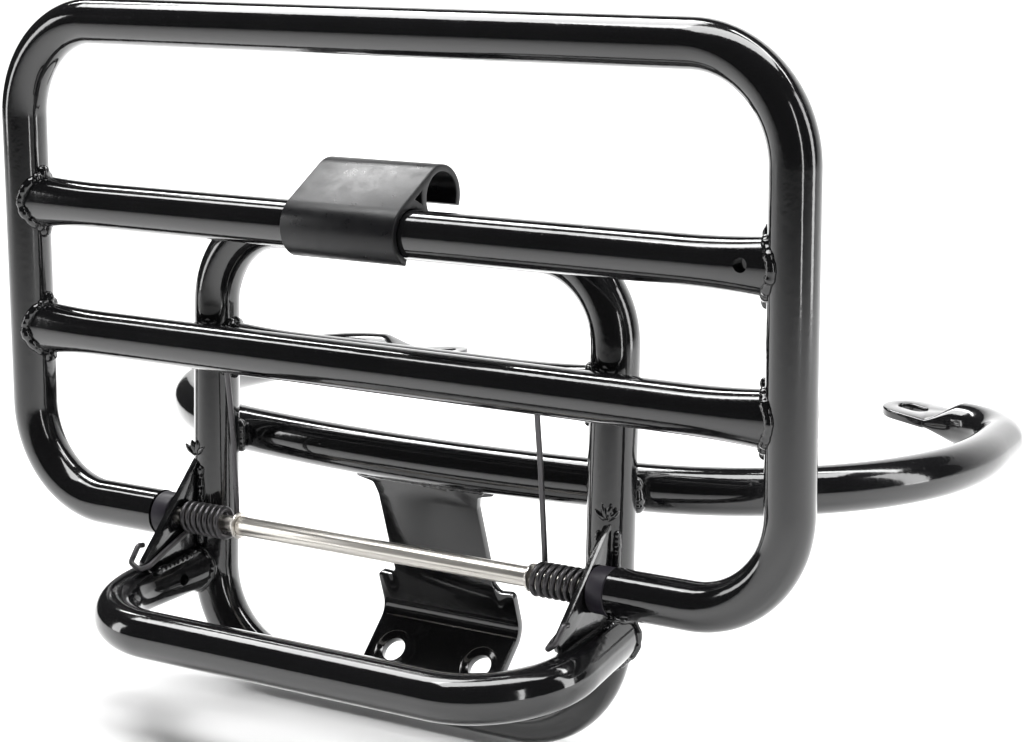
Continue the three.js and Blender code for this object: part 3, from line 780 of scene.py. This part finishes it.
def hinge_plate():
    pen = Pen((2, -19))
    pen.rounded(
        [(16, -19, 0), (18, 23, 0), (11, 23.6, 1.4), (-27.6, -15.5, 1.6), (-24, -20.5, 1.5), (2, -19, 0)]
    )
    pen.close()
    add_hole(pen.mesh, 0, 0, 3.75, 32)
    fill_pattern(pen.mesh)
    thicken(pen.mesh, PLATE_THICKNESS)
    round_edges(pen.mesh, 0.45, 2)
    side_view = Matrix(((0, 0, 1, 0), (1, 0, 0, 0), (0, 1, 0, 0), (0, 0, 0, 1)))
    place = Matrix.Translation((PLATE_INNER + PLATE_THICKNESS / 2, 0, 0))
    bmesh.ops.transform(pen.mesh, matrix=place @ side_view, verts=pen.mesh.verts)
    return pen.mesh


for name, mirror in (("right", False), ("left", True)):
    finish_piece(
        hinge_plate(), f"hinge_plate_{name}_look", "fixed_frame", plate_paint,
        [f"hinge_plate_{name}"], mirror,
    )

# %% [markdown]
# ## The centre bracket
# The bracket is a sheet with ears at its top, a narrow neck and a wide foot with two dimpled bolt
# holes. It is drawn flat, cut across where the press brake will bend it, and then every point is
# rolled round the bend.

# %% Centre bracket
SHEET = 3.0
BRACKET_TOP = Vector((0, 34.4, 25.5))
BRACKET_KNEE = Vector((0, 54.4, -44.4))
FOOT_ANGLE = math.radians(46)
FOOT_LENGTH = 32.0
BEND_TANGENT = 6.0
HOLE_SPACING = 46.0
HOLE_R = 5.5
DIMPLE_R = 9.2
DIMPLE_DEPTH = 1.1
HOLE_FROM_KNEE = 19.6
neck_fall = (BRACKET_KNEE - BRACKET_TOP).normalized()
foot_fall = Vector((0, -math.cos(FOOT_ANGLE), -math.sin(FOOT_ANGLE)))
neck_length = (BRACKET_KNEE - BRACKET_TOP).length - BEND_TANGENT
bend_angle = neck_fall.angle(foot_fall)
bend_radius = BEND_TANGENT / math.tan(bend_angle / 2)
bend_length = bend_radius * bend_angle
bend_axis = neck_fall.cross(foot_fall).normalized()


def roll_down(across, down, out):
    """A point of the flat pattern, on the bent sheet. out is measured to the sheet's rear side."""
    if down < neck_length:
        middle = BRACKET_TOP + neck_fall * down
        turn = 0.0
    elif down < neck_length + bend_length:
        turn = (down - neck_length) / bend_radius
        start = BRACKET_TOP + neck_fall * neck_length
        centre = start + bend_radius * bend_axis.cross(neck_fall)
        middle = centre + Matrix.Rotation(turn, 3, bend_axis) @ (start - centre)
    else:
        turn = bend_angle
        beyond = down - neck_length - bend_length + BEND_TANGENT
        middle = BRACKET_KNEE + foot_fall * beyond
    rear = Matrix.Rotation(turn, 3, bend_axis) @ neck_fall.cross(bend_axis)
    return middle + rear * out + X * across


def bracket_pattern():
    bottom = neck_length + bend_length + FOOT_LENGTH - BEND_TANGENT
    shoulder = 54.0
    right = [
        (36, 0, 0), (36, 5.2, 1), (27.5, 7.2, 2), (26, 13, 6),
        (26, shoulder - 3.4, 0), (28.3, shoulder, 1.6), (36, shoulder - 0.6, 2.2), (36, bottom, 2.5),
    ]
    left = [(-u, v, radius) for u, v, radius in reversed(right)]
    pen = Pen((0, 0))
    pen.rounded(right + left + [(0, 0, 0)])
    pen.close()
    hole_line = neck_length + bend_length + HOLE_FROM_KNEE - BEND_TANGENT
    rims = []
    for sign in (-1, 1):
        rims.append(add_hole(pen.mesh, sign * HOLE_SPACING / 2, hole_line, DIMPLE_R))
    fill_pattern(pen.mesh)
    for sign, rim in zip((-1, 1), rims):
        dimple(pen.mesh, rim, Vector((sign * HOLE_SPACING / 2, hole_line, 0)))
    cuts = 9
    for cut in range(cuts + 1):
        line = neck_length + bend_length * cut / cuts
        geometry = list(pen.mesh.verts) + list(pen.mesh.edges) + list(pen.mesh.faces)
        bmesh.ops.bisect_plane(pen.mesh, geom=geometry, plane_co=(0, line, 0), plane_no=(0, 1, 0))
    return pen.mesh


def dimple(mesh, rim, centre):
    """Draws the rim of a round opening in to the bolt hole, in rings that sink as they go."""
    ring = rim
    around = Matrix.Translation(-centre)
    radius = DIMPLE_R
    for share in (0.12, 0.35, 0.65, 0.88, 1.0):
        ring = verts_in(bmesh.ops.extrude_edge_only(mesh, edges=edges_among(ring))["geom"])
        next_radius = DIMPLE_R + (HOLE_R - DIMPLE_R) * share
        factor = next_radius / radius
        bmesh.ops.scale(mesh, vec=(factor, factor, 1), space=around, verts=ring)
        for vert in ring:
            vert.co.z = DIMPLE_DEPTH * ease(share)
        radius = next_radius


bracket = bracket_pattern()
bmesh.ops.recalc_face_normals(bracket, faces=bracket.faces)
thicken(bracket, SHEET)
round_edges(bracket, 0.5, 2)
for vert in bracket.verts:
    vert.co = roll_down(*vert.co)
finish_piece(
    bracket, "centre_bracket_look", "fixed_frame", bracket_paint, ["centre_bracket"]
)

# %% [markdown]
# ## Axle, sleeve, washers and bushes
# These are turned parts. A half profile is drawn along the axle and spun once round it. The rod
# shows for a few millimetres beside the left washer, where the sleeve has slid to the right.

# %% Turned parts
def turned(profile, sides=56):
    """Spins a closed half profile of (along X, radius) points round the axle."""
    mesh = bmesh.new()
    verts = [mesh.verts.new((along, 0, radius)) for along, radius in profile]
    edges = [mesh.edges.new(pair) for pair in zip(verts, verts[1:] + verts[:1])]
    bmesh.ops.spin(
        mesh, geom=verts + edges, cent=(0, 0, 0), axis=(1, 0, 0), angle=2 * math.pi,
        steps=sides, use_merge=True, use_duplicate=False,
    )
    return mesh


def ring_profile(low, high, inner, outer, chamfer):
    return [
        (low, inner), (low, outer - chamfer), (low + chamfer * 0.3, outer - chamfer * 0.3),
        (low + chamfer, outer), (high - chamfer, outer), (high - chamfer * 0.3, outer - chamfer * 0.3),
        (high, outer - chamfer), (high, inner),
    ]


ROD_R = 3.5
ROD_HALF = 128.0
SLEEVE_LEFT, SLEEVE_RIGHT = -73.5, 77.8
SLEEVE_R = 4.2
WASHER_R = 5.8
rod = turned(ring_profile(-ROD_HALF, ROD_HALF, 0.02, ROD_R, 0.6))
finish_piece(rod, "axle_rod_look", "fixed_frame", axle_nickel, ["axle_rod"])
sleeve = turned(ring_profile(SLEEVE_LEFT, SLEEVE_RIGHT, ROD_R + 0.25, SLEEVE_R, 0.3))
finish_piece(sleeve, "axle_sleeve_look", "fixed_frame", axle_nickel, ["axle_sleeve"])
for name, low in (("left", SLEEVE_LEFT - 1.3), ("right", SLEEVE_RIGHT + 0.3)):
    washer = turned(ring_profile(low, low + 1, ROD_R + 0.25, WASHER_R, 0.25))
    node = f"sleeve_washer_{name}"
    finish_piece(washer, f"{node}_look", "fixed_frame", axle_nickel, [node])

BUSH_INNER = 109.2
COLLAR_R = 9.6
COLLAR_END = 117.5
SPIGOT_R = 7.4
SPIGOT_END = 131.5
bush_profile = [
    (BUSH_INNER, ROD_R + 0.25), (BUSH_INNER, COLLAR_R - 0.8), (BUSH_INNER + 0.25, COLLAR_R - 0.25),
    (BUSH_INNER + 0.8, COLLAR_R), (COLLAR_END - 0.5, COLLAR_R), (COLLAR_END, COLLAR_R - 0.5),
    (COLLAR_END, SPIGOT_R), (SPIGOT_END - 0.6, SPIGOT_R), (SPIGOT_END, SPIGOT_R - 0.6),
    (SPIGOT_END, ROD_R + 0.25),
]
for name, mirror in (("right", False), ("left", True)):
    node = f"hinge_bush_{name}"
    bush = turned(bush_profile)
    finish_piece(bush, f"{node}_look", "platform", bush_plastic, [node], mirror)

# %% [markdown]
# ## Torsion springs
# Each spring is one wire. A leg comes down from the lower crossbar, the coil winds round the axle
# with a spin that also travels sideways, and the lower leg runs down the hinge plate and hooks
# round its tip. The spring rides on neither body; its place is baked into its mesh.

# %% Springs
WIRE_R = 1.2
COIL_R = 6.1
COIL_INNER = 80.8
COIL_OUTER = 103.9
COIL_TURNS = 7.194
LEG_TOP = 68.4


def torsion_spring():
    coil_start = Vector((COIL_INNER, COIL_R, 0))
    top = Vector((COIL_INNER - 0.6, 2.3, LEG_TOP))
    knee = Vector((COIL_INNER - 0.6, 4.6, 43))
    low = Vector((COIL_INNER - 0.2, COIL_R - 0.05, 9))
    wire = Tube(top, knee - top, X, radius=WIRE_R, sides=14)
    wire.through([knee, low, coil_start], 30, step=3)
    wire.aim(wire.place - Z)
    travel = (COIL_OUTER - COIL_INNER) / COIL_TURNS
    wire.bend(COIL_R, COIL_TURNS * 360, -X, pitch=-travel, step=10)
    inside = PLATE_INNER - 0.3 - WIRE_R
    outside = PLATE_INNER + PLATE_THICKNESS + 0.3 + WIRE_R
    hook = [
        (inside, -13, -11.4), (inside, -25.5, -16.4), (inside + 1.4, -30.4, -17.2),
        (outside - 0.4, -31.2, -14.4), (outside, -25.6, -8.2), (outside - 0.2, -22.6, -8.6),
    ]
    wire.aim(hook[0])
    wire.through(hook, 1.6)
    wire.cap()
    cap_start(wire)
    return wire.mesh


for name, mirror in (("right", False), ("left", True)):
    node = f"torsion_spring_{name}"
    spring = finish_piece(
        torsion_spring(), f"{node}_look", "fixed_frame", spring_wire,
        [node], mirror, ride=False,
    )
    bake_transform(spring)

# %% [markdown]
# ## The latch clip
# The clip is a moulded section of constant shape. Its front jaw wraps three quarters round the
# upper crossbar, and its rear jaw curls the same way and snaps over the hoop's top bar. The section is
# drawn with the pen in its own plane, thickened across the rack, and its edges are rounded.

# %% Latch clip
CLIP_LEFT, CLIP_RIGHT = -37.7, 20.5
CLIP_BORE = 10.25
CLIP_OUTER = 13.3
CLIP_SPACING = 24.6
CLIP_TILT = math.radians(31.3)
MOUTH_HALF = 50.0
REAR_WRAP = 55.0


def on_circle(radius, degrees, centre=0.0):
    angle = math.radians(degrees)
    return centre + radius * math.cos(angle), radius * math.sin(angle)


def clip_section():
    pen = Pen(on_circle(CLIP_OUTER, -90 - MOUTH_HALF))
    pen.arc((0, 0), -(180 - MOUTH_HALF))
    pen.line(CLIP_SPACING, CLIP_OUTER)
    pen.arc((CLIP_SPACING, 0), -90 - REAR_WRAP)
    pen.line(*on_circle(CLIP_BORE, -REAR_WRAP, CLIP_SPACING))
    pen.arc((CLIP_SPACING, 0), 180 + REAR_WRAP)
    pen.line(CLIP_SPACING - CLIP_BORE - 0.8, -2.2)
    pen.line(*on_circle(CLIP_OUTER, -90 + MOUTH_HALF + 14))
    pen.line(*on_circle(CLIP_BORE, -90 + MOUTH_HALF))
    pen.arc((0, 0), 360 - 2 * MOUTH_HALF)
    pen.close()
    middle = CLIP_SPACING / 2
    high = CLIP_BORE
    web = Pen((middle - 2.6, high))
    web.line(middle + 2.6, high).line(middle, high - 4.4).close()
    merge_into(pen.mesh, web.mesh)
    return fill_pattern(pen.mesh)


clip = clip_section()
thicken(clip, CLIP_RIGHT - CLIP_LEFT)
round_edges(clip, 0.6, 3, 40)
clip_forward = Vector((0, math.cos(CLIP_TILT), math.sin(CLIP_TILT)))
clip_up = X.cross(clip_forward)
clip_place = PLATFORM_UP * UPPER_BAR + X * (CLIP_LEFT + CLIP_RIGHT) / 2
clip_turn = Matrix((clip_forward, clip_up, X)).transposed().to_4x4()
bmesh.ops.transform(clip, matrix=Matrix.Translation(clip_place) @ clip_turn, verts=clip.verts)
finish_piece(clip, "latch_clip_look", "clip", clip_plastic, ["latch_clip"])

# %% [markdown]
# ## Welds
# A weld is a row of overlapping puddles. Each bead is a small ring swept along the seam, and its
# radius swells a little for every puddle and wanders as a hand does. The paint covers the welds
# too, so they take the same paint as their tubes.

# %% The bead
PUDDLE = 2.8
weld_random = random.Random(7)


def even_points(points, spacing, closed):
    """The same line with points at an even spacing."""
    line = list(points) + ([points[0]] if closed else [])
    lengths = [0.0]
    for a, b in zip(line, line[1:]):
        lengths.append(lengths[-1] + (b - a).length)
    count = max(3, round(lengths[-1] / spacing))
    result = []
    segment = 0
    for step in range(count + (0 if closed else 1)):
        target = lengths[-1] * step / count
        while segment < len(line) - 2 and lengths[segment + 1] < target:
            segment += 1
        span = lengths[segment + 1] - lengths[segment]
        share = (target - lengths[segment]) / span if span else 0
        result.append(line[segment].lerp(line[segment + 1], share))
    return result, lengths[-1] / count


def bead(points, radius, closed=False, lumpy=0.07, sides=16):
    path, spacing = even_points(points, 0.45, closed)
    count = len(path)
    shift = weld_random.uniform(0, 100)

    def frame_at(index):
        if closed:
            heading = path[(index + 1) % count] - path[index - 1]
        else:
            heading = path[min(index + 1, count - 1)] - path[max(index - 1, 0)]
        puddle = math.sin(2 * math.pi * index * spacing / PUDDLE)
        around = index / count * 2 * math.pi
        spot = Vector((math.cos(around), math.sin(around), 0)) * count * spacing * 0.05
        wander = noise.noise(spot + Vector((shift, 0, 0)))
        size = radius * (1 + lumpy * puddle / 2 + 4 * lumpy * wander)
        if not closed:
            end = min(index, count - 1 - index) * spacing
            size *= min(1, math.sqrt(end / radius + 0.02))
        turn = towards(heading, up_for(heading)).to_4x4()
        return Matrix.Translation(path[index]) @ turn @ Matrix.Scale(size, 4)

    mesh = bmesh.new()
    here = frame_at(0)
    ring = bmesh.ops.create_circle(mesh, segments=sides, radius=1, matrix=here)["verts"]
    first = list(ring)
    for index in range(1, count + (1 if closed else 0)):
        ring = verts_in(bmesh.ops.extrude_edge_only(mesh, edges=edges_among(ring))["geom"])
        there = frame_at(index % count)
        bmesh.ops.transform(mesh, matrix=there @ here.inverted(), verts=ring)
        here = there
    if closed:
        bmesh.ops.remove_doubles(mesh, verts=first + list(ring), dist=0.2)
    else:
        for end in (first, ring):
            bmesh.ops.holes_fill(mesh, edges=edges_among(end), sides=0)
    return mesh


def up_for(heading):
    """A direction that is never along heading, and changes smoothly round a seam."""
    return Vector((0.35, 1, 0.2)) if abs(heading.normalized().y) < 0.8 else Vector((1, 0.2, 0.35))


def lump(centre, size, stretch=(1, 1, 1), turn=Matrix.Identity(3)):
    """A blob of weld metal, or of spatter."""
    mesh = bmesh.new()
    bmesh.ops.create_icosphere(mesh, subdivisions=3, radius=1)
    shift = Vector((weld_random.uniform(0, 50), 0, 0))
    for vert in mesh.verts:
        vert.co *= 1 + 0.22 * noise.noise(vert.co * 1.6 + shift)
    shape = Matrix.Diagonal([value * size for value in stretch])
    place = Matrix.Translation(Vector(centre)) @ (turn @ shape).to_4x4()
    bmesh.ops.transform(mesh, matrix=place, verts=mesh.verts)
    return mesh


def weld_group(parts):
    whole = parts[0]
    for part in parts[1:]:
        merge_into(whole, part)
    return whole


# %% Welds of the platform
platform_welds = [bead(seam, 2.3, closed=True) for seam in lower_seams + upper_seams]
for sign in (-1, 1):
    for bar in (LOWER_BAR, UPPER_BAR):
        for end in (-1, 1):
            corner = PLATFORM_UP * (bar + end * 12.4) + X * sign * (PLATFORM_HALF - TUBE_R - 0.4)
            platform_welds.append(lump(corner, 2.6, (1, 1.2, 1.5)))
finish_piece(weld_group(platform_welds), "platform_welds", "platform", platform_paint)

# %% Welds of the fixed frame
def hoop_skin(x, z, side=-1):
    """The point of a hoop side tube's skin at x and z, on its front (-1) or rear (1)."""
    centre_y = HOOP_FOOT.y + z * math.tan(HOOP_LEAN)
    across = min(abs(abs(x) - HOOP_HALF), TUBE_R)
    return Vector((x, centre_y + side * math.sqrt(TUBE_R ** 2 - across ** 2), z))


frame_welds = [bead(seam, 2.1, closed=True) for seam in hoop_bar_seams]
for sign in (-1, 1):
    for offset in (-1.9, PLATE_THICKNESS + 1.9):
        x = sign * (PLATE_INNER + offset)
        line = [hoop_skin(x, z) for z in (21, 12, 3, -6, -15)]
        frame_welds.append(bead(line, 1.7))
        arm = [Vector((x, y, -18.3 + (y + 2) * 0.1)) for y in (12, 0, -12, -22)]
        frame_welds.append(bead(arm, 1.8))
    crown = hoop_skin(sign * (PLATE_INNER + 1.5), 24.5)
    for tilt in (-50, -18, 14, 46):
        turn = Matrix.Rotation(math.radians(tilt), 3, "Y")
        reach = turn @ Vector((0, 0, 4.2))
        frame_welds.append(lump(crown + reach, 1.25, (1, 1, 2.7), turn))
    for inner in (-6.6, 6.6):
        x = sign * (HOOP_HALF + inner)
        line = [Vector((x, 29.4, z)) for z in (24, 28, 32, 36, 39)]
        frame_welds.append(bead(line, 2.9))
for offset in (-2.6, 2.6):
    line = [Vector((x, 33.3 + x * x / 1200 + offset, 22.6)) for x in range(-34, 35, 4)]
    frame_welds.append(bead(line, 1.6))
finish_piece(weld_group(frame_welds), "frame_welds", "fixed_frame", frame_paint)

# %% Welds where the ledge meets the hoop
def ledge_seam(sign):
    """The closed line where one arm of the ledge runs into the hoop's side tube."""
    start = Vector((sign * LEDGE_START, ledge_start.y, ledge_start.z))
    corner = Vector((sign * LEDGE_CORNER, LEDGE_FRONT.y, LEDGE_FRONT.z))
    back = (start - corner).normalized()
    arm = Tube(corner, back, Z)
    on_axis = HOOP_FOOT + X * sign * HOOP_HALF
    seam = [slide_to_tube(point, back, on_axis, HOOP_UP) for point in ordered_ring(arm)]
    arm.mesh.free()
    return seam


ledge_welds = [bead(ledge_seam(sign), 1.5, closed=True) for sign in (-1, 1)]
finish_piece(weld_group(ledge_welds), "ledge_welds", "fixed_frame", frame_paint)

# %% [markdown]
# ## Studio
# Black paint only shows what it reflects. A pale floor lights the undersides, a large soft box
# overhead draws the long highlight on each tube, and two strips mark the sides. The floor turns up
# behind the rack into a backdrop, so there is no horizon.

# %% Floor and backdrop
low_corner, high_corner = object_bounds()
floor_z = low_corner.z - 0.002
floor_mesh = bmesh.new()
front_left = floor_mesh.verts.new((-3.5, -3.0, floor_z))
front_right = floor_mesh.verts.new((3.5, -3.0, floor_z))
edge = floor_mesh.edges.new((front_left, front_right))
made = bmesh.ops.extrude_edge_only(floor_mesh, edges=[edge])["geom"]
row = verts_in(made)
bmesh.ops.translate(floor_mesh, vec=(0, 5.0, 0), verts=row)
row_edge = edges_among(row)
made = bmesh.ops.spin(
    floor_mesh, geom=row + row_edge, cent=(0, 2.0, floor_z + 1.2), axis=(1, 0, 0),
    angle=math.radians(80), steps=24, use_duplicate=False,
)["geom_last"]
row = verts_in(made)
row_edge = edges_among(row)
made = bmesh.ops.extrude_edge_only(floor_mesh, edges=row_edge)["geom"]
row = verts_in(made)
bmesh.ops.translate(floor_mesh, vec=(0, 0.35, 2.0), verts=row)
bmesh.ops.recalc_face_normals(floor_mesh, faces=floor_mesh.faces)
floor_data = bpy.data.meshes.new("studio_floor")
floor_mesh.to_mesh(floor_data)
floor_mesh.free()
floor_data.shade_smooth()
studio_floor = bpy.data.objects.new("studio_floor", floor_data)
bpy.context.scene.collection.objects.link(studio_floor)
floor_paper, nodes, links, shader, coords = new_finish("floor_paper")
shader.inputs["Base Color"].default_value = (0.86, 0.86, 0.86, 1)
shader.inputs["Roughness"].default_value = 0.9
floor_data.materials.append(floor_paper)

# %% Lights
def soft_box(name, place, target, width, height, power, colour=(1, 1, 1)):
    light = bpy.data.lights.new(name, "AREA")
    light.shape = "RECTANGLE"
    light.size = width
    light.size_y = height
    light.energy = power
    light.color = colour
    holder = bpy.data.objects.new(name, light)
    holder.location = place
    aim = Vector(target) - Vector(place)
    holder.rotation_euler = aim.to_track_quat("-Z", "Y").to_euler()
    bpy.context.scene.collection.objects.link(holder)
    return holder


middle = (low_corner + high_corner) / 2
soft_box("overhead", (0.1, -0.1, 1.5), middle, 1.7, 0.55, 26)
soft_box("right_strip", (1.3, -0.7, 0.45), middle, 0.12, 1.2, 3.5)
soft_box("rear_right_strip", (1.2, 0.35, 0.45), middle, 0.25, 1.2, 6)
soft_box("left_window", (-2.2, -1.2, 0.6), middle, 0.5, 1.2, 10)
soft_box("floor_wash", (-1.1, 0.1, 1.9), (-0.5, -0.1, 0), 1.2, 1.0, 34)
soft_box("backdrop_wash_left", (-1.6, 0.9, 2.2), (-1.3, 3.0, 0.5), 2.0, 0.8, 95)
soft_box("backdrop_wash_right", (0.9, 1.0, 2.2), (0.6, 3.0, 0.5), 2.0, 0.8, 70)

world = bpy.data.worlds.new("studio")
world.use_nodes = True
world.node_tree.nodes["Background"].inputs["Color"].default_value = (1, 1, 1, 1)
world.node_tree.nodes["Background"].inputs["Strength"].default_value = 0.03
bpy.context.scene.world = world

# %% [markdown]
# ## Camera
# The camera stands at the right of the rack's front, a little above it, with a long lens.

# %% Camera
camera_data = bpy.data.cameras.new("camera")
camera_data.lens = 90.6
camera_data.sensor_width = 36
camera_data.shift_x = 0.0062
camera_data.shift_y = -0.0021
camera_data.clip_end = 20
camera = bpy.data.objects.new("camera", camera_data)
bpy.context.scene.collection.objects.link(camera)
right = Vector((0.8241, 0.5663, -0.0148)).normalized()
back = Vector((0.5572, -0.8055, 0.2018)).normalized()
upward = back.cross(right).normalized()
right = upward.cross(back)
turn = Matrix((right, upward, back)).transposed().to_4x4()
camera.matrix_world = Matrix.Translation(AXLE + Vector((635.78, -822.09, 290.02)) * MM) @ turn
scene = bpy.context.scene
scene.camera = camera
scene.view_settings.view_transform = "Standard"
print("camera at", tuple(round(value, 3) for value in camera.matrix_world.translation))
